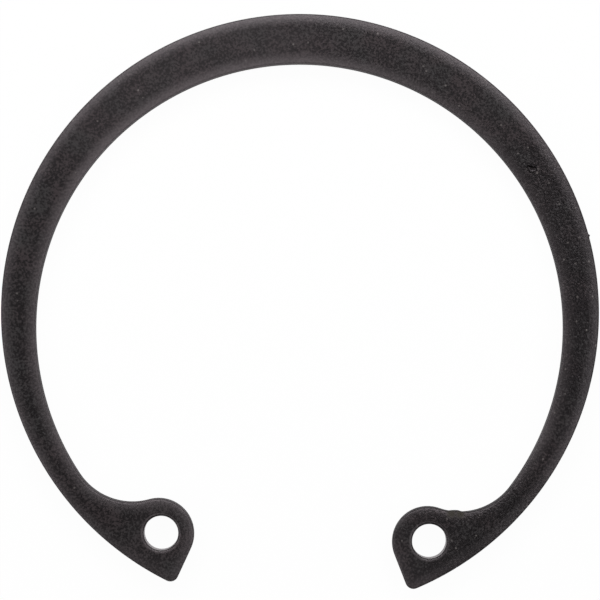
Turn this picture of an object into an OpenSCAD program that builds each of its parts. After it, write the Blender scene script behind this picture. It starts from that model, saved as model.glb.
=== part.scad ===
// Internal retaining ring for a 40 mm bore, blanked from spring steel strip and tumbled. Sizes in mm.
// The beam is the crescent between the outer circle and an eccentric inner circle, so it bends
// evenly when it is squeezed. It ends in two lugs, each with a hole for the tip of the pliers.
// Origin: centre of the outer circle, on the burr side. +Z is the roll side, and the gap opens
// towards -Y.

/* [Beam] */
// Outer diameter of the free ring
free_d = 43.5; // [43:0.1:44.5]
// Width of the beam opposite the gap, where it is widest
back_w = 3.6; // [3.3:0.1:4]
// Width that the taper would come down to, if the beam ran on to the middle of the gap
gap_w = 1.4; // [1:0.1:1.8]
// Thickness of the strip
strip_t = 1.75; // [1.5:0.05:2]

/* [Lugs] */
// Angle between the two end faces, seen from the ring's centre
gap_angle = 46.2; // [36:0.1:56]
// Height of a lug, from the outer edge in to the top of its nose
lug_h = 5.2; // [4.8:0.1:5.8]
// Radius of the rounded nose of a lug
nose_r = 2.6; // [2.3:0.1:2.8]
// Radius of the throat, where the beam sweeps into a lug
throat_r = 4.6; // [4:0.1:5.5]
// Radius of the corner between the end face and the outer edge
tip_r = 0.6; // [0.4:0.05:0.8]

/* [Plier holes] */
// Diameter of the plier holes
hole_d = 2.5; // [2:0.1:2.6]
// How far a hole sits in from the centre of its nose, towards the ring's centre
hole_inset = 0.15; // [0:0.05:0.3]
// How far both holes drifted towards +X when they were punched
punch_drift = 0.15; // [0:0.05:0.2]

/* [Edges] */
// Width of the soft roll that blanking draws down along every edge of the top face
roll_w = 0.9; // [0.6:0.05:1]
// How far the roll drops from the top face to the wall
roll_drop = 0.13; // [0.08:0.01:0.2]
// Radius of the tumbled rim between the roll and the wall
rim_r = 0.15; // [0.1:0.01:0.2]
// Radius of the tumbled rim on the burr side
burr_r = 0.1; // [0.06:0.01:0.15]
// Radius of the rolled rim of a hole, on the top face
hole_rim_r = 0.18; // [0.1:0.01:0.2]

/* [Hidden] */
$fn = 180;
// Number of cones that the shallow roll is made of
roll_cones = 3;
// Tangent arcs run this far into each other, so that they cross cleanly
blend = 0.002;
// Slope at which a rim leaves the wall, a flat or the roll, in degrees
rim_kick = 6;
// Clearance of a cutter outside the solid
clear = 0.5;
// At a joint of two edges one cut stops this far short of it
trim = 0.03;
// Its neighbour runs this far past the joint
run_on = 0.15;
// and is this much shallower, so that it never marks the other edge
shy = 0.002;

ring_r = free_d / 2;
// The inner circle is smaller by both widths, and lies off centre by half their difference
inner_r = ring_r - (back_w + gap_w) / 2;
inner_c = [0, (gap_w - back_w) / 2];
half_gap = gap_angle / 2;
far = 2 * ring_r;

// A point at a distance and an angle from the middle of the gap, towards +X
function polar(r, a) = r * [sin(a), -cos(a)];
// Direction from p to q, in degrees from +X
function heading(p, q) = atan2(q.y - p.y, q.x - p.x);
function unit(v) = v / norm(v);
// Degrees of an arc of radius r that are as long as s
function turn(s, r) = s / r * 180 / PI;
// The crossing, to the left of p to q, of a circle round p with a circle round q
function crossing(p, rp, q, rq) =
    let (d = norm(q - p), along = (rp * rp - rq * rq + d * d) / (2 * d), u = (q - p) / d)
    p + along * u + sqrt(rp * rp - along * along) * [-u.y, u.x];

// The nose and the tip both touch the end face, which points at the ring's centre
nose_polar = ring_r - lug_h + nose_r;
nose_dir = half_gap + asin(nose_r / nose_polar);
nose_c = polar(nose_polar, nose_dir);
tip_polar = ring_r - tip_r;
tip_dir = half_gap + asin(tip_r / tip_polar);
tip_c = polar(tip_polar, tip_dir);
// The throat touches the inner circle from within and the nose from outside
throat_c = crossing(inner_c, inner_r - throat_r, nose_c, throat_r + nose_r);
hole_c = polar(nose_polar - hole_inset, nose_dir);
// Square to the end face, into the lug
into_lug = [cos(half_gap), sin(half_gap)];

// Directions in which the edges meet, each seen from the centre of an arc
inner_to_throat = heading(inner_c, throat_c);
throat_to_nose = heading(throat_c, nose_c);
nose_to_throat = heading(nose_c, throat_c);
tip_to_outer = tip_dir - 90;
// The flat part of the end face starts and ends at these distances from the ring's centre
end_in = nose_polar * cos(nose_dir - half_gap);
end_out = tip_polar * cos(tip_dir - half_gap);

module disc(c, r) translate(c) circle(r);

module lug_outline() difference() {
    union() {
        disc(nose_c, nose_r);
        disc(tip_c, tip_r + blend);
        polygon([
            nose_c,
            nose_c - (nose_r - blend) * into_lug,
            tip_c - (tip_r - blend) * into_lug,
            tip_c,
            polar(far, tip_dir),
            inner_c + far * unit(throat_c - inner_c),
            throat_c
        ]);
    }
    disc(throat_c, throat_r + blend);
}

module ring_outline() intersection() {
    circle(ring_r);
    union() {
        difference() {
            square(2 * far, center = true);
            disc(inner_c, inner_r);
            polygon([[0, 0], polar(far, nose_dir), polar(2 * far, 0), polar(far, -nose_dir)]);
        }
        lug_outline();
        mirror([1, 0]) lug_outline();
    }
}

// The roll follows a shallow arc from the flat of the top face down to the wall
roll_tilt = atan(roll_drop / roll_w);
roll_rad = norm([roll_w, roll_drop]) / (2 * sin(roll_tilt));
function roll_point(slope) = [roll_w - roll_rad * sin(slope), strip_t - roll_rad * (1 - cos(slope))];
roll_points = [for (i = [0 : roll_cones]) roll_point(2 * roll_tilt * i / roll_cones)];
roll_top = roll_points[0] + run_on * unit(roll_points[0] - roll_points[1]);
wall_top = roll_points[roll_cones];
roll_end = wall_top + clear * unit(wall_top - roll_points[roll_cones - 1]);
// The rim rounds off the corner that the last cone of the roll makes with the wall
wall_slope = heading(roll_end, wall_top);
rim_slope = wall_slope + rim_kick;
rim_x = rim_r * cos(rim_kick);
rim_top = wall_top + (rim_x - rim_r * sin(rim_slope)) * [1, tan(wall_slope)];
rim_mid = rim_top + rim_r * [sin(rim_slope), -cos(rim_slope)];

// Sections of what is taken off an edge: x runs into the metal from the wall, y runs up
module top_waste() {
    polygon(concat(
        [[roll_end.x, strip_t + clear], [roll_top.x, strip_t + clear], roll_top],
        roll_points,
        [roll_end]
    ));
    difference() {
        translate([-clear, rim_mid.y])
            square([clear + rim_x - rim_r * sin(wall_slope), strip_t - rim_mid.y + clear]);
        translate(rim_mid) circle(rim_r);
    }
}

module round_waste(r) difference() {
    translate([-clear, -clear]) square(clear + r * cos(rim_kick));
    translate(r * cos(rim_kick) * [1, 1]) circle(r);
}

// A section turned along an arc between two directions, with the metal inside the arc or outside it
module outside_edge(c, r, from, to, extra) translate(c)
    rotate_extrude(angle = to - from + 2 * turn(extra, r), start = from - turn(extra, r))
    intersection() {
        translate([r, 0]) mirror([1, 0]) children();
        translate([0, -far]) square(2 * far);
    }

module inside_edge(c, r, from, to, extra) translate(c)
    rotate_extrude(angle = to - from + 2 * turn(extra, r), start = from - turn(extra, r))
    translate([r, 0]) children();

// A section taken off the whole outline. The lift makes the cuts that run on the shallower ones.
module all_edges(lift) {
    inside_edge(inner_c, inner_r, inner_to_throat, 180 - inner_to_throat, -trim) children();
    translate([0, 0, lift])
        outside_edge([0, 0], ring_r, tip_to_outer, 180 - tip_to_outer, run_on) children();
    for (side = [0, 1]) mirror([side, 0]) {
        outside_edge(nose_c, nose_r, nose_to_throat, 180 + half_gap, -trim) children();
        outside_edge(tip_c, tip_r + blend, half_gap - 180, tip_to_outer, -trim) children();
        translate([0, 0, lift]) {
            inside_edge(throat_c, throat_r + blend, throat_to_nose, inner_to_throat, run_on) children();
            rotate(half_gap) rotate([90, 0, 0]) translate([blend, 0, end_in - run_on])
                linear_extrude(end_out - end_in + 2 * run_on) children();
        }
    }
}

module plier_hole() {
    translate([0, 0, -clear]) cylinder(d = hole_d, h = strip_t + 2 * clear);
    inside_edge([0, 0], hole_d / 2, 0, 360, 0) {
        round_waste(burr_r);
        translate([0, strip_t]) mirror([0, 1]) round_waste(hole_rim_r);
    }
}

module circlip() color("#3a3633") difference() {
    linear_extrude(strip_t) ring_outline();
    all_edges(shy) top_waste();
    all_edges(-shy) round_waste(burr_r);
    for (side = [-1, 1]) translate([side * hole_c.x + punch_drift, hole_c.y]) plier_hole();
}

circlip();
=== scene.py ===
"""Looks of an internal retaining ring: one flat, open ring of blackened spring steel on a pale table.

Sizes are in millimetres, and turn into metres once the ring has its shape. It lies in the frame of its
CAD solid: the centre of the outer circle on the burr side, +Z to the rolled side, the gap towards -Y.
"""

import math

import bmesh
import bpy
from mathutils import Matrix, Vector


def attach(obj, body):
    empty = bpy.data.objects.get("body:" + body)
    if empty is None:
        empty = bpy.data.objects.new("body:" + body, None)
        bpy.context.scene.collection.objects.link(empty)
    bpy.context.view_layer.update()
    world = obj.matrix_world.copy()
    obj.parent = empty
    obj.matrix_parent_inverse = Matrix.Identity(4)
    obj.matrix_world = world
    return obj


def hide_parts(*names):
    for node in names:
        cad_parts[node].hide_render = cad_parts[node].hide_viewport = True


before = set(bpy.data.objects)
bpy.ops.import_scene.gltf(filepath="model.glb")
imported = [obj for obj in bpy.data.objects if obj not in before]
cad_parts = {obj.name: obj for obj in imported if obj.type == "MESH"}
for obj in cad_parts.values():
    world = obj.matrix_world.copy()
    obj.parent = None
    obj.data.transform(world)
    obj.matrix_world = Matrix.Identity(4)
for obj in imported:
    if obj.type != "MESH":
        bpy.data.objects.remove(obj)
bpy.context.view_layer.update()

MM = 0.001

# Sizes of the outline, as in the solid
FREE_D = 43.5
BACK_W = 3.6
GAP_W = 1.4
STRIP_T = 1.75
GAP_ANGLE = 46.2
LUG_H = 5.2
NOSE_R = 2.6
THROAT_R = 4.6
TIP_R = 0.6

# Sizes of the plier holes, and how far both were punched towards +X
HOLE_D = 2.5
HOLE_INSET = 0.15
PUNCH_DRIFT = 0.15

# Sizes of the edges: the roll of the top face, the rims at the wall's top and foot, and those of the holes
ROLL_W = 0.9
ROLL_DROP = 0.13
RIM_R = 0.15
BURR_R = 0.1
HOLE_RIM_R = 0.18

# How far apart the points lie along the beam, round the lugs and at the nib
LONG_STEP = 0.25
SHORT_STEP = 0.08
FINE_STEP = 0.04
# How many steps there are round each curve of a section, and round a hole
BURR_STEPS, RIM_STEPS, ROLL_STEPS = 4, 5, 9
HOLE_SIDES, HOLE_BURR_STEPS, HOLE_RIM_STEPS = 96, 3, 5
# Heights of the rows that keep a wall upright between its curved rims, as shares of the thickness
WALL_ROWS = (0.08, 0.3, 0.5, 0.7, 0.82)
HOLE_WALL_ROWS = (0.08, 0.5, 0.87)
# Points nearer than this are one, and a rim this near to the height of a flat belongs to it
MERGE_GAP = 1e-4
FLAT_GAP = 1e-6

# Burrs that stand out from the wall: the place, how far out, and the spread along the edge and up the wall
NIB = ((20.83, 6.27), 0.12, 0.09, 0.3)
THROAT_BURR = ((11.75, -14.12), 0.155, 0.55, 0.45)
THROAT_NIB = ((11.95, -14.12), 0.04, 0.12, 0.3)
# Height of a burr's middle, and how many spreads it takes to fade
BURR_MID = 1.2
BURR_REACH = 3
# The outer edge has fine steps for this many degrees on each side of the nib
NIB_SPAN = 1.2

# The pit in the top face: the place, half the length and width, the turn in degrees, and the depth
PIT = ((16.50, 10.96), 0.42, 0.3, -17, 0.2)
PIT_SIDES = 28
# It stays this far inside the flat of the top face
PIT_MARGIN = 0.02
# The pit's rim is uneven: the height, count and phase of the waves round it
PIT_WAVES = [(0.12, 2, 1), (0.1, 3, 0), (0.06, 5, 2)]
# Each row down the pit: its size as a share of the row above, and its share of the depth
PIT_ROWS = [(0.93, 0.08), (0.86, 0.34), (0.8, 0.37), (0.7, 0.15), (0.6, 0.06)]

# Shares of the edges' lightening, partly abrasion and partly painted highlight: what a nose and a throat
# have of the inner edge's extra, what those of the right lug keep of it all, and what a hole's rim has as a
# painted highlight
LUG_ABRASION_AND_HIGHLIGHT = 0.35
RIGHT_LUG_ABRASION_AND_HIGHLIGHT = 0.3
HOLE_RIM_HIGHLIGHT = 2.0
# The painted highlight round a hole ends this far from its wall
HOLE_RIM_HIGHLIGHT_END = 0.27
# Points this near to the wall, as a share of the rim's radius, count as wall
WALL_SHARE = 0.3

RING_R = FREE_D / 2
INNER_R = RING_R - (BACK_W + GAP_W) / 2
HALF_GAP = math.radians(GAP_ANGLE / 2)
NOSE_POLAR = RING_R - LUG_H + NOSE_R
NOSE_DIR = HALF_GAP + math.asin(NOSE_R / NOSE_POLAR)
TIP_POLAR = RING_R - TIP_R
TIP_DIR = HALF_GAP + math.asin(TIP_R / TIP_POLAR)
END_LENGTH = TIP_POLAR * math.cos(TIP_DIR - HALF_GAP) - NOSE_POLAR * math.cos(NOSE_DIR - HALF_GAP)
QUARTER = math.pi / 2


def polar(distance, direction):
    """A point at a distance and a direction from the middle of the gap, towards +X."""
    return Vector((distance * math.sin(direction), -distance * math.cos(direction), 0))


def crossing(p, rp, q, rq):
    """The crossing, to the left of p to q, of a circle round p with a circle round q."""
    d = (q - p).length
    along = (rp * rp - rq * rq + d * d) / (2 * d)
    u = (q - p) / d
    return p + along * u + math.sqrt(rp * rp - along * along) * Vector((-u.y, u.x, 0))


def heading(p, q):
    """The direction from p to q."""
    return math.atan2(q.y - p.y, q.x - p.x)


END_FACE = polar(1, HALF_GAP)
INTO_LUG = Vector((math.cos(HALF_GAP), math.sin(HALF_GAP), 0))
RING_C = Vector((0, 0, 0))
INNER_C = Vector((0, (GAP_W - BACK_W) / 2, 0))
NOSE_C = polar(NOSE_POLAR, NOSE_DIR)
TIP_C = polar(TIP_POLAR, TIP_DIR)
HOLE_C = polar(NOSE_POLAR - HOLE_INSET, NOSE_DIR)
THROAT_C = crossing(INNER_C, INNER_R - THROAT_R, NOSE_C, THROAT_R + NOSE_R)

OUTER, TIP, END, NOSE, THROAT, INNER = range(6)
# Centre and radius of each arc of the outline. The radius is negative where the metal lies outside the arc.
ARCS = {
    OUTER: (RING_C, RING_R),
    TIP: (TIP_C, TIP_R),
    NOSE: (NOSE_C, NOSE_R),
    THROAT: (THROAT_C, -THROAT_R),
    INNER: (INNER_C, -INNER_R),
}


def walk_outline(bm, edge):
    """Walks the right half of the outline, from the middle of the back, round the lug and back inside."""
    nib_dir = heading(RING_C, Vector((*NIB[0], 0)))
    fine_from = nib_dir + math.radians(NIB_SPAN)
    fine_to = nib_dir - math.radians(NIB_SPAN)
    outer_to = TIP_DIR - QUARTER
    tip_to = HALF_GAP - math.pi
    nose_to = heading(NOSE_C, THROAT_C)
    throat_from = heading(THROAT_C, NOSE_C)
    throat_to = heading(INNER_C, THROAT_C)
    turns = [
        (OUTER, fine_from - QUARTER, LONG_STEP),
        (OUTER, fine_to - fine_from, FINE_STEP),
        (OUTER, outer_to - fine_to, LONG_STEP),
        (TIP, tip_to - outer_to, SHORT_STEP),
        (END, 0, SHORT_STEP),
        (NOSE, nose_to - tip_to - 2 * math.pi, SHORT_STEP),
        (THROAT, throat_to - throat_from, SHORT_STEP),
        (INNER, QUARTER - throat_to, LONG_STEP),
    ]
    last = bm.verts.new((0, RING_R, 0))
    last[edge] = OUTER
    for kind, turn, step in turns:
        if kind == END:
            count = math.ceil(END_LENGTH / step)
            for _ in range(count):
                grown = bmesh.ops.extrude_vert_indiv(bm, verts=[last])["verts"]
                last = grown[0]
                last.co -= END_FACE * END_LENGTH / count
                last[edge] = END
            continue
        centre, radius = ARCS[kind]
        count = math.ceil(abs(radius * turn) / step)
        before = set(bm.verts)
        spun = bmesh.ops.spin(
            bm, geom=[last], cent=centre, axis=(0, 0, 1), angle=turn, steps=count,
            use_merge=False, use_duplicate=False,
        )
        for vert in set(bm.verts) - before:
            vert[edge] = kind
        last = [v for v in spun["geom_last"] if isinstance(v, bmesh.types.BMVert)][0]


def inset_place(kind, point, depth):
    """Where a point of the outline lies on the outline's parallel curve at a depth into the metal."""
    if kind == END:
        place = point + depth * INTO_LUG
    else:
        centre, radius = ARCS[kind]
        place = centre + (point - centre) * (1 - depth / radius)
    if kind in (OUTER, TIP, END) and depth >= TIP_R:
        # past the tip's own radius the two edges meet in a mitre
        reach = math.sqrt((RING_R - depth) ** 2 - depth * depth)
        mitre = depth * INTO_LUG + reach * END_FACE
        beyond = {
            OUTER: heading(RING_C, place) < heading(RING_C, mitre),
            TIP: True,
            END: place.dot(END_FACE) > reach,
        }
        if beyond[kind]:
            place = mitre
    return place


def arc_rows(depth, height, radius, start, end, count):
    """Points of an edge's section, each a depth into the metal and a height: an arc between two slopes."""
    rows = []
    for i in range(count + 1):
        slope = start + (end - start) * i / count
        rows.append((depth - radius * math.sin(slope), height + radius * math.cos(slope)))
    return rows


def wall_rows(steps, shares):
    """The section from the flat of the burr side round its small rim and up the wall."""
    arc = arc_rows(BURR_R, BURR_R, BURR_R, 0, QUARTER, steps)
    turned_over = [(depth, 2 * BURR_R - height) for depth, height in arc]
    return turned_over + [(0, STRIP_T * share) for share in shares]


def edge_rows():
    """The section of the ring's edge, from the flat of the burr side to the flat of the top."""
    roll_r = (ROLL_W ** 2 + ROLL_DROP ** 2) / (2 * ROLL_DROP)
    rim_height = STRIP_T - roll_r + math.sqrt((roll_r - RIM_R) ** 2 - (ROLL_W - RIM_R) ** 2)
    slope = math.asin((ROLL_W - RIM_R) / (roll_r - RIM_R))
    rim = arc_rows(RIM_R, rim_height, RIM_R, QUARTER, slope, RIM_STEPS)
    roll = arc_rows(ROLL_W, STRIP_T - roll_r, roll_r, slope, 0, ROLL_STEPS)
    return wall_rows(BURR_STEPS, WALL_ROWS) + rim + roll[1:]


def hole_rows():
    """The section of a plier hole's edge, from the burr side to the flat round its rim."""
    rim = arc_rows(HOLE_RIM_R, STRIP_T - HOLE_RIM_R, HOLE_RIM_R, QUARTER, 0, HOLE_RIM_STEPS)
    return wall_rows(HOLE_BURR_STEPS, HOLE_WALL_ROWS) + rim + [(HOLE_RIM_HIGHLIGHT_END, STRIP_T)]


def grow_row(bm, edges):
    """Extrudes a loop of edges and returns the new verts and the new edges."""
    grown = bmesh.ops.extrude_edge_only(bm, edges=edges)["geom"]
    new_verts = [g for g in grown if isinstance(g, bmesh.types.BMVert)]
    new_edges = [g for g in grown if isinstance(g, bmesh.types.BMEdge)]
    return new_verts, new_edges


def new_circle(bm, sides, radius):
    """A circle of edges, with no face in it."""
    verts = bmesh.ops.create_circle(bm, cap_ends=False, segments=sides, radius=radius)["verts"]
    return verts, list({e for v in verts for e in v.link_edges})


def raise_burr(bm, edge, burr):
    """Pushes the wall's points out round a burr, most at its middle."""
    (x, y), height, along, up = burr
    for vert in bm.verts:
        gap = math.hypot(vert.co.x - x, vert.co.y - y)
        if gap > BURR_REACH * along or vert[edge] not in ARCS:
            continue
        centre, radius = ARCS[vert[edge]]
        out = (Vector((vert.co.x, vert.co.y, 0)) - centre).normalized() * math.copysign(1, radius)
        rise = (vert.co.z - BURR_MID) / up
        vert.co += out * height * math.exp(-((gap / along) ** 2) - rise * rise)


def sink_pit(bm):
    """Sinks the uneven pit. The top face is filled up to its rim later."""
    (x, y), half_length, half_width, turn, depth = PIT
    turned = Matrix.Rotation(math.radians(turn), 4, "Z")
    verts, loop = new_circle(bm, PIT_SIDES, 1)
    for vert in verts:
        around = math.atan2(vert.co.y, vert.co.x)
        vert.co *= 1 + sum(rise * math.sin(count * around + phase) for rise, count, phase in PIT_WAVES)
    bmesh.ops.scale(bm, verts=verts, vec=(half_length, half_width, 1))
    bmesh.ops.transform(bm, verts=verts, matrix=Matrix.Translation((x, y, 0)) @ turned)
    flat_from = INNER_R + ROLL_W + PIT_MARGIN
    for vert in verts:
        away = vert.co - INNER_C
        vert.co = INNER_C + away.normalized() * max(away.length, flat_from)
        vert.co.z = STRIP_T
    for shrink, fall in PIT_ROWS:
        verts, loop = grow_row(bm, loop)
        middle = sum((v.co for v in verts), Vector()) / len(verts)
        for vert in verts:
            vert.co = middle + (vert.co - middle) * shrink
            vert.co.z -= depth * fall
    bmesh.ops.contextual_create(bm, geom=loop)


def punch_hole(bm, side, lightened, punched):
    """The wall and rims of the plier hole on one side. The flats are filled up to both ends later."""
    centre = Vector((side * HOLE_C.x + PUNCH_DRIFT, HOLE_C.y, 0))
    nose = Vector((side * NOSE_C.x, NOSE_C.y, 0))
    verts, loop = new_circle(bm, HOLE_SIDES, HOLE_D / 2)
    bmesh.ops.translate(bm, verts=verts, vec=centre)
    for number, (depth, height) in enumerate(hole_rows()):
        if number:
            verts, loop = grow_row(bm, loop)
        for vert in verts:
            out = (Vector((vert.co.x, vert.co.y, 0)) - centre).normalized()
            place = centre + out * (HOLE_D / 2 + min(depth, HOLE_RIM_R))
            if depth > HOLE_RIM_R:
                # the last row goes no further than half-way to the ring's rolled edge
                room = NOSE_R - ROLL_W - (place - nose).length
                place += out * min(depth - HOLE_RIM_R, room / 2)
            vert.co = (place.x, place.y, height)
            # The rim round the hole gets a painted highlight
            on_highlit_rim = height > BURR_R and depth <= HOLE_RIM_R
            vert[lightened] = (depth / HOLE_RIM_R) ** 2 * HOLE_RIM_HIGHLIGHT if on_highlit_rim else 0
            upright = depth < WALL_SHARE * HOLE_RIM_R and height < STRIP_T - HOLE_RIM_R / 2
            vert[punched] = 1 if upright else 0


def make_ring():
    """The ring: its outline grown row by row up the section, then the burrs, holes, pit and flats."""
    bm = bmesh.new()
    edge = bm.verts.layers.int.new("edge")
    walk_outline(bm, edge)
    base_x = bm.verts.layers.float.new("base_x")
    base_y = bm.verts.layers.float.new("base_y")
    lightened = bm.verts.layers.float.new("edge_share")
    within = bm.verts.layers.float.new("inner_edge")
    sheared = bm.verts.layers.float.new("wall")
    punched = bm.verts.layers.float.new("hole_wall")
    for vert in bm.verts:
        vert[base_x], vert[base_y] = vert.co.x, vert.co.y
    inner_share = {INNER: 1, NOSE: LUG_ABRASION_AND_HIGHLIGHT, THROAT: LUG_ABRASION_AND_HIGHLIGHT}
    loop = list(bm.edges)
    verts = list(bm.verts)
    for number, (depth, height) in enumerate(edge_rows()):
        if number:
            verts, loop = grow_row(bm, loop)
        for vert in verts:
            place = inset_place(vert[edge], Vector((vert[base_x], vert[base_y], 0)), depth)
            vert.co = (place.x, place.y, height)
            # Lighter towards the edge, for abrasion and as painted highlight
            vert[lightened] = max(0, 1 - depth / ROLL_W) if height > BURR_R else 0
            vert[within] = inner_share.get(vert[edge], 0)
            upright = depth < WALL_SHARE * RIM_R and height < STRIP_T - ROLL_DROP
            vert[sheared] = 1 if upright else 0
    bmesh.ops.remove_doubles(bm, verts=bm.verts, dist=MERGE_GAP)
    bmesh.ops.mirror(bm, geom=bm.verts[:] + bm.edges[:] + bm.faces[:], axis="X", merge_dist=MERGE_GAP)
    # The right lug's edges keep less of the abrasion and painted highlight
    for vert in bm.verts:
        if vert.co.x > 0 and vert[edge] in (NOSE, THROAT):
            vert[lightened] *= RIGHT_LUG_ABRASION_AND_HIGHLIGHT
    for burr in (NIB, THROAT_BURR, THROAT_NIB):
        raise_burr(bm, edge, burr)
    for side in (-1, 1):
        punch_hole(bm, side, lightened, punched)
    sink_pit(bm)

    sides = set(bm.faces)
    for height in (0, STRIP_T):
        on_flat = {v for v in bm.verts if abs(v.co.z - height) < FLAT_GAP}
        rims = [e for e in bm.edges if e.is_boundary and on_flat.issuperset(e.verts)]
        bmesh.ops.triangle_fill(bm, use_beauty=True, use_dissolve=False, edges=rims, normal=(0, 0, 1))
    for face in bm.faces:
        face.smooth = face in sides
    bmesh.ops.recalc_face_normals(bm, faces=bm.faces)
    bmesh.ops.transform(bm, matrix=Matrix.Scale(MM, 4), verts=bm.verts)
    return bm


# Grain of the coating: the width of a clump of crystals, and of the clouds where they thicken and thin
GRAIN = 0.17
GRAIN_DETAIL, GRAIN_HARDNESS = 3.0, 0.65
CLOUD = 1.6
CLOUD_DETAIL, CLOUD_HARDNESS = 5.0, 0.6
CLOUD_SHARE = 0.3
# Values of the grain that come out dark and light, in even and in coarse coating. The power keeps the
# coarse coating dark between its specks, which also paints shade over the coarse zones.
DARK_HEX = "#030202"
EVEN_LOW, EVEN_HIGH = 0.6, 0.73
HARSH_LOW, HARSH_HIGH, HARSH_POWER = 0.61, 0.785, 1.7
# Where the coating is coarse and painted darker as shade: the middle, and the distances from it where it
# fades and has gone
COARSE_AND_SHADED_ZONES = [((19.8, 3.5, 0.9), 7, 13), ((14, -14.5, 0.9), 4, 7)]

# Two casts of the light tone, in wide clouds, and the tint of the coating's sheen
CAST, CAST_DETAIL = 2.5, 1.0
CAST_LOW, CAST_HIGH = 0.4, 0.6
LIGHT_WARM = "#312b2c"
LIGHT_COOL = "#2c2b2b"
SHEEN_HEX = "#fff4fa"

# Bright flecks over the coating, painted glints: how far apart they may lie, the radius, and the strength.
# The rarity is the share of places that stay empty. It is lower in coarse coating, which has more flecks.
GLINT_FLECK_HEX = "#6f6a68"
FLECK_GAP, FLECK_R, FLECK_GAIN = 0.36, 0.1, 0.7
FLECK_RARITY, COARSE_FLECKS = 0.98, 0.06
# Places of the painted glints that stand out
BRIGHT_FLECKS = [
    (8.4, 18.2), (9.1, 16.3), (11.1, 15.4), (14.2, 14.1), (17.0, 11.0), (17.8, 10.0),
    (18.6, 8.5), (19.3, 5.7), (19.9, 4.2), (20.1, 1.8), (20.1, 0.0), (13.5, -14.3),
    (-3.9, 19.0), (-4.5, 18.2), (-16.6, 9.7), (-19.5, 7.0), (-20.6, 0.8), (-16.0, -13.2),
]
BRIGHT_FLECK_R, BRIGHT_FLECK_GAIN = 0.1, 0.45
# A fleck is full up to this share of its radius
FLECK_CORE = 0.4

# Edges lighter by abrasion and painted highlight: the tone, what every edge has, and the inner edge's extra
ABRASION_AND_HIGHLIGHT_HEX = "#5a5456"
OUTER_ABRASION_AND_HIGHLIGHT, INNER_ABRASION_AND_HIGHLIGHT = 0.24, 0.20
# It is patchy like the grain. This is added to the grain, and evens it out.
ABRASION_AND_HIGHLIGHT_PATCH = 0.35
# Share of it that coarse coating hasn't got
COARSE_ABRASION_AND_HIGHLIGHT_LOSS = 0.35
# Where the inner edge is lighter most, by abrasion and painted highlight, and how much more
INNER_LIGHTER_ZONE = ((-8, 16.5, 1.7), 8, 20)
INNER_LIGHTER_GAIN = 0.45
# Pools of painted light on the top: where they lie, and how much
PAINTED_LIGHT_ZONES = [
    ((-9.4, 17.7, 1.7), 7, 13, 0.085),
    ((-8.7, -17, 1.7), 2.5, 4.5, 0.06),
    ((8.7, -17, 1.7), 2.5, 4.5, 0.055),
]

# Stains by the throats: the place, the radius, and how much it covers
STAIN_HEX = "#2c2a20"
STAINS = [
    (11.45, -14.2, 0.5, 0.8),
    (12.1, -14.2, 0.5, 0.8),
    (-12.0, -13.9, 0.5, 0.25),
    (-12.5, -13.6, 0.4, 0.2),
]
# A stain is full up to this share of its radius
STAIN_CORE = 0.3

# Relief of the grain, and how much of it coarse and even coating has
RELIEF, COARSE_RELIEF, EVEN_RELIEF = 0.08, 0.52, 0.17
# Roughness of coarse and even coating, of the stains, of the walls, and of the walls in the holes
COARSE_ROUGH, EVEN_ROUGH, STAIN_ROUGH, WALL_ROUGH, HOLE_ROUGH = 0.30, 0.375, 0.85, 0.8, 0.25
# Width of the upright streaks on the walls, and how far they are drawn out
STREAK_W, STREAK_SQUEEZE, STREAK_DETAIL = 0.12, 0.08, 2.0
# Height up to which the walls are torn, how soft and ragged that line is, and the walls' relief
TEAR_H, TEAR_SOFT, TEAR_RAGGED, WALL_RELIEF = 1.15, 0.1, 0.5, 0.09
# The walls in the holes are burnished: the tone, and how metallic they are
HOLE_HEX, HOLE_METAL = "#757473", 0.6


def linear(hex_colour):
    """An sRGB hex colour as the linear colour that Blender reads."""
    parts = [int(hex_colour[i : i + 2], 16) / 255 for i in (1, 3, 5)]
    return tuple(p / 12.92 if p <= 0.04045 else ((p + 0.055) / 1.055) ** 2.4 for p in parts) + (1,)


def add(tree, kind, settings=None, **links):
    """Adds a node with its settings, and fills its sockets with values or links.

    A socket goes by its name, or by i and its number. A node given as a value stands for its first output.
    """
    node = tree.nodes.new("ShaderNode" + kind)
    for name, value in (settings or {}).items():
        setattr(node, name, value)
    for name, value in links.items():
        socket = node.inputs[int(name[1:]) if name[1:].isdigit() else name.replace("_", " ")]
        if isinstance(value, bpy.types.Node):
            value = value.outputs[0]
        if isinstance(value, bpy.types.NodeSocket):
            tree.links.new(value, socket)
        else:
            socket.default_value = value
    return node


def new_material(name):
    """A material whose nodes are still to be added, and its node tree."""
    material = bpy.data.materials.new(name)
    material.use_nodes = True
    material.node_tree.nodes.clear()
    return material, material.node_tree


def spot(tree, place, zone, most=1.0):
    """A mask round the middle of a zone: full up to its first distance, and nothing from its second."""
    mid, full, none = zone
    away = add(tree, "VectorMath", {"operation": "DISTANCE"}, i0=place, i1=tuple(v * MM for v in mid))
    return add(
        tree, "MapRange", {"interpolation_type": "SMOOTHSTEP"}, Value=away.outputs["Value"],
        From_Min=none * MM, From_Max=full * MM, To_Min=0.0, To_Max=most,
    )


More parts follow.
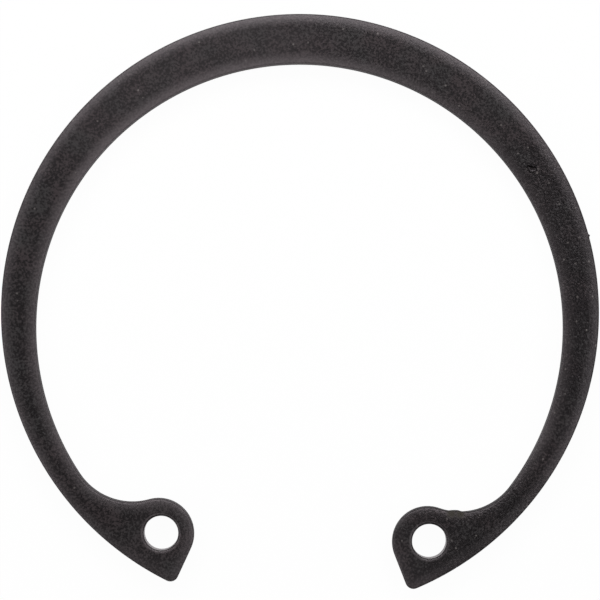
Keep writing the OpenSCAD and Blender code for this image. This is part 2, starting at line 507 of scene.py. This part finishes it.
def phosphated_steel():
    """Manganese phosphate on spring steel, oiled and tumbled.

    It gives the eye a dull, finely speckled near-black, lighter along the edges by abrasion and painted
    highlight.
    """
    material, tree = new_material("phosphated_spring_steel")
    place = add(tree, "TexCoord").outputs["Object"]
    # One crystal is a hundredth of a millimetre. The grain is drawn in coarse clumps, so that it shows.
    grain = add(
        tree, "TexNoise", Vector=place, Scale=1 / (GRAIN * MM),
        Detail=GRAIN_DETAIL, Roughness=GRAIN_HARDNESS,
    )
    cloud = add(
        tree, "TexNoise", Vector=place, Scale=1 / (CLOUD * MM),
        Detail=CLOUD_DETAIL, Roughness=CLOUD_HARDNESS,
    )
    mixed = add(tree, "Math", {"operation": "MULTIPLY_ADD"}, i0=cloud, i1=CLOUD_SHARE, i2=grain)

    # Coarse coating has harder specks, and its darker tone there is partly painted shade
    coarse = 0.0
    for zone in COARSE_AND_SHADED_ZONES:
        coarse = add(tree, "Math", {"operation": "MAXIMUM"}, i0=coarse, i1=spot(tree, place, zone))
    even = add(tree, "MapRange", Value=mixed, From_Min=EVEN_LOW, From_Max=EVEN_HIGH)
    harsh = add(tree, "MapRange", Value=mixed, From_Min=HARSH_LOW, From_Max=HARSH_HIGH)
    harsh = add(tree, "Math", {"operation": "POWER"}, i0=harsh, i1=HARSH_POWER)
    level = add(tree, "Mix", i0=coarse, i2=even, i3=harsh)

    # Painted glints: light flecks in the base colour, standing in for the crystals' sparkle
    cells = add(tree, "TexVoronoi", Vector=place, Scale=1 / (FLECK_GAP * MM))
    chance = add(tree, "SeparateColor", Color=cells.outputs["Color"])
    rarity = add(tree, "Math", {"operation": "MULTIPLY_ADD"}, i0=coarse, i1=-COARSE_FLECKS, i2=FLECK_RARITY)
    chosen = add(tree, "Math", {"operation": "GREATER_THAN"}, i0=chance, i1=rarity)
    fleck_end = FLECK_R / FLECK_GAP
    dot = add(
        tree, "MapRange", Value=cells.outputs["Distance"],
        From_Min=fleck_end, From_Max=FLECK_CORE * fleck_end, To_Max=FLECK_GAIN,
    )
    fleck = add(tree, "Math", {"operation": "MULTIPLY"}, i0=chosen, i1=dot)
    for x, y in BRIGHT_FLECKS:
        zone = ((x, y, STRIP_T), FLECK_CORE * BRIGHT_FLECK_R, BRIGHT_FLECK_R)
        dot = spot(tree, place, zone, BRIGHT_FLECK_GAIN)
        fleck = add(tree, "Math", {"operation": "MAXIMUM"}, i0=fleck, i1=dot)

    drift = add(tree, "TexNoise", Vector=place, Scale=1 / (CAST * MM), Detail=CAST_DETAIL)
    cast = add(tree, "MapRange", Value=drift, From_Min=CAST_LOW, From_Max=CAST_HIGH)
    light = add(tree, "MixRGB", Fac=cast, Color1=linear(LIGHT_WARM), Color2=linear(LIGHT_COOL))
    tone = add(tree, "MixRGB", Fac=level, Color1=linear(DARK_HEX), Color2=light)
    tone = add(tree, "MixRGB", Fac=fleck, Color1=tone, Color2=linear(GLINT_FLECK_HEX))

    edge = add(tree, "Attribute", {"attribute_name": "edge_share"}).outputs["Fac"]
    inner = add(tree, "Attribute", {"attribute_name": "inner_edge"}).outputs["Fac"]
    wall = add(tree, "Attribute", {"attribute_name": "wall"}).outputs["Fac"]
    hole_wall = add(tree, "Attribute", {"attribute_name": "hole_wall"}).outputs["Fac"]
    # Edges painted lighter, partly for abrasion and partly as painted highlight, most on the inner edge at
    # the left back
    inner_lighter_spot = spot(tree, place, INNER_LIGHTER_ZONE)
    inner_lighter = add(tree, "Math", {"operation": "MULTIPLY_ADD"}, i0=inner_lighter_spot, i1=INNER_LIGHTER_GAIN, i2=INNER_ABRASION_AND_HIGHLIGHT)
    abrasion_and_highlight = add(tree, "Math", {"operation": "MULTIPLY_ADD"}, i0=inner, i1=inner_lighter, i2=OUTER_ABRASION_AND_HIGHLIGHT)
    abrasion_and_highlight = add(tree, "Math", {"operation": "MULTIPLY"}, i0=edge, i1=abrasion_and_highlight)
    # Pools of painted light on parts of the top
    for *zone, gain in PAINTED_LIGHT_ZONES:
        pale = spot(tree, place, zone, gain)
        abrasion_and_highlight = add(tree, "Math", {"operation": "ADD"}, i0=abrasion_and_highlight, i1=pale)
    kept = add(tree, "Math", {"operation": "MULTIPLY_ADD"}, i0=coarse, i1=-COARSE_ABRASION_AND_HIGHLIGHT_LOSS, i2=1.0)
    abrasion_and_highlight = add(tree, "Math", {"operation": "MULTIPLY"}, i0=abrasion_and_highlight, i1=kept)
    patchy = add(tree, "Math", {"operation": "ADD"}, i0=mixed, i1=ABRASION_AND_HIGHLIGHT_PATCH)
    abrasion_and_highlight = add(tree, "Math", {"operation": "MULTIPLY"}, i0=abrasion_and_highlight, i1=patchy)
    tone = add(tree, "MixRGB", Fac=abrasion_and_highlight, Color1=tone, Color2=linear(ABRASION_AND_HIGHLIGHT_HEX))
    stain = 0.0
    for x, y, radius, share in STAINS:
        dot = spot(tree, place, ((x, y, STRIP_T), STAIN_CORE * radius, radius), share)
        stain = add(tree, "Math", {"operation": "MAXIMUM"}, i0=stain, i1=dot)
    tone = add(tree, "MixRGB", Fac=stain, Color1=tone, Color2=linear(STAIN_HEX))
    # The walls of the holes are burnished by the punch and the pliers
    tone = add(tree, "MixRGB", Fac=hole_wall, Color1=tone, Color2=linear(HOLE_HEX))
    metal = add(tree, "Math", {"operation": "MULTIPLY"}, i0=hole_wall, i1=HOLE_METAL)

    relief = add(tree, "Mix", i0=coarse, i2=EVEN_RELIEF, i3=COARSE_RELIEF)
    relief = add(tree, "Mix", i0=hole_wall, i2=relief, i3=0.0)
    bump = add(tree, "Bump", Height=grain, Distance=RELIEF * MM, Strength=relief)
    # The wall is cut in fine upright streaks above, and torn in clouds below
    upright = add(tree, "Mapping", Vector=place, Scale=(1, 1, STREAK_SQUEEZE))
    streaks = add(tree, "TexNoise", Vector=upright, Scale=1 / (STREAK_W * MM), Detail=STREAK_DETAIL)
    height = add(tree, "SeparateXYZ", Vector=place).outputs["Z"]
    ragged = add(tree, "Math", {"operation": "MULTIPLY_ADD"}, i0=cloud, i1=TEAR_RAGGED * MM, i2=height)
    torn = add(
        tree, "MapRange", Value=ragged,
        From_Min=(TEAR_H + TEAR_SOFT) * MM, From_Max=(TEAR_H - TEAR_SOFT) * MM,
    )
    wall_height = add(tree, "Mix", i0=torn, i2=streaks, i3=cloud)
    bump = add(tree, "Bump", Height=wall_height, Distance=WALL_RELIEF * MM, Strength=wall, Normal=bump)
    gloss = add(tree, "Mix", i0=coarse, i2=EVEN_ROUGH, i3=COARSE_ROUGH)
    gloss = add(tree, "Mix", i0=stain, i2=gloss, i3=STAIN_ROUGH)
    gloss = add(tree, "Mix", i0=wall, i2=gloss, i3=WALL_ROUGH)
    gloss = add(tree, "Mix", i0=hole_wall, i2=gloss, i3=HOLE_ROUGH)
    shader = add(
        tree, "BsdfPrincipled", Base_Color=tone, Metallic=metal, Roughness=gloss, Normal=bump,
        Specular_Tint=linear(SHEEN_HEX),
    )
    add(tree, "OutputMaterial", Surface=shader)
    return material


# The table looks white, counts for less in the ring's own reflections, and keeps a little of the shadow
SEEN_WHITE = 0.97
MIRRORED_WHITE = 0.4
TABLE_HEX = "#f4f4f4"
TABLE_ROUGH = 0.8
# Half its width, in metres, and how far it lies below the ring, in millimetres
TABLE_SIZE = 1.5
TABLE_GAP = 0.01
WHITE_HEX = "#ffffff"


def white_table():
    """A matt white sheet: a plain pale ground that the ring's shadow still falls on."""
    material, tree = new_material("white_table")
    path = add(tree, "LightPath").outputs
    mirrored = path["Is Glossy Ray"]
    through = path["Is Transmission Ray"]
    seen = add(tree, "Math", {"operation": "MAXIMUM"}, i0=mirrored, i1=through)
    seen = add(tree, "Math", {"operation": "MULTIPLY"}, i0=seen, i1=MIRRORED_WHITE)
    seen = add(tree, "Math", {"operation": "MAXIMUM"}, i0=seen, i1=path["Is Camera Ray"])
    seen = add(tree, "Math", {"operation": "MULTIPLY"}, i0=seen, i1=SEEN_WHITE)
    matt = add(tree, "BsdfPrincipled", Base_Color=linear(TABLE_HEX), Roughness=TABLE_ROUGH)
    white = add(tree, "Emission", Color=linear(WHITE_HEX), Strength=1.0)
    add(tree, "OutputMaterial", Surface=add(tree, "MixShader", i0=seen, i1=matt, i2=white))
    return material


def make_object(name, bm, material):
    """An object at the origin, with its shape and its material."""
    mesh = bpy.data.meshes.new(name)
    bm.to_mesh(mesh)
    bm.free()
    piece = bpy.data.objects.new(name, mesh)
    bpy.context.scene.collection.objects.link(piece)
    mesh.materials.append(material)
    return piece


def make_table():
    """The table's top, a hair below the ring, so that the two faces don't show through each other."""
    bm = bmesh.new()
    bmesh.ops.create_grid(bm, x_segments=1, y_segments=1, size=TABLE_SIZE)
    bmesh.ops.translate(bm, verts=bm.verts, vec=(0, 0, -TABLE_GAP * MM))
    return bm


ring = make_object("retaining_ring", make_ring(), phosphated_steel())
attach(ring, "root")
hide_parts("circlip")
make_object("table_top", make_table(), white_table())

# The lamps: direction and elevation in degrees, distance, width and height in metres, and radiance
SOFT_BOXES = {
    "back_softbox": (90, 45, 0.15, 0.17, 0.08, 4.3),
    "right_back_softbox": (35, 47, 0.24, 0.15, 0.11, 1.55),
    "left_back_softbox": (150, 45, 0.15, 0.1, 0.07, 1.65),
    "left_softbox": (205, 35, 0.2, 0.12, 0.09, 2.5),
    "right_softbox": (345, 45, 0.25, 0.12, 0.1, 2.5),
    "front_softbox": (290, 65, 0.3, 0.11, 0.08, 1.0),
}
ROOM_LIGHT = 0.08

for name, (direction, elevation, distance, width, height, radiance) in SOFT_BOXES.items():
    light = bpy.data.lights.new(name, "AREA")
    light.shape = "RECTANGLE"
    light.size = width
    light.size_y = height
    light.energy = radiance * math.pi * width * height
    lamp = bpy.data.objects.new(name, light)
    up = distance * math.sin(math.radians(elevation))
    flat = distance * math.cos(math.radians(elevation))
    around = math.radians(direction)
    lamp.location = (flat * math.cos(around), flat * math.sin(around), up)
    lamp.rotation_euler = (-lamp.location).to_track_quat("-Z", "Y").to_euler()
    bpy.context.scene.collection.objects.link(lamp)

world = bpy.data.worlds.new("studio")
world.use_nodes = True
background = world.node_tree.nodes["Background"]
background.inputs["Color"].default_value = linear(WHITE_HEX)
background.inputs["Strength"].default_value = ROOM_LIGHT
bpy.context.scene.world = world

# The camera looks straight down from 240 mm above the ring's top face. It stands a little towards the
# back of the ring's centre, and is rolled by 1.75 degrees.
CAMERA_H = 240
CAMERA_X = -0.027
CAMERA_Y = 0.943
CAMERA_ROLL = 1.752
FOCAL_PX = 3303.0
IMAGE_PX = 600
SENSOR_W = 36
NEAREST = 10
camera_data = bpy.data.cameras.new("camera")
camera_data.sensor_width = SENSOR_W
camera_data.lens = FOCAL_PX * SENSOR_W / IMAGE_PX
camera_data.clip_start = NEAREST * MM
camera = bpy.data.objects.new("camera", camera_data)
camera.location = (CAMERA_X * MM, CAMERA_Y * MM, (STRIP_T + CAMERA_H) * MM)
camera.rotation_euler = (0, 0, math.radians(CAMERA_ROLL))
bpy.context.scene.collection.objects.link(camera)
bpy.context.scene.camera = camera
bpy.context.scene.view_settings.view_transform = "Standard"
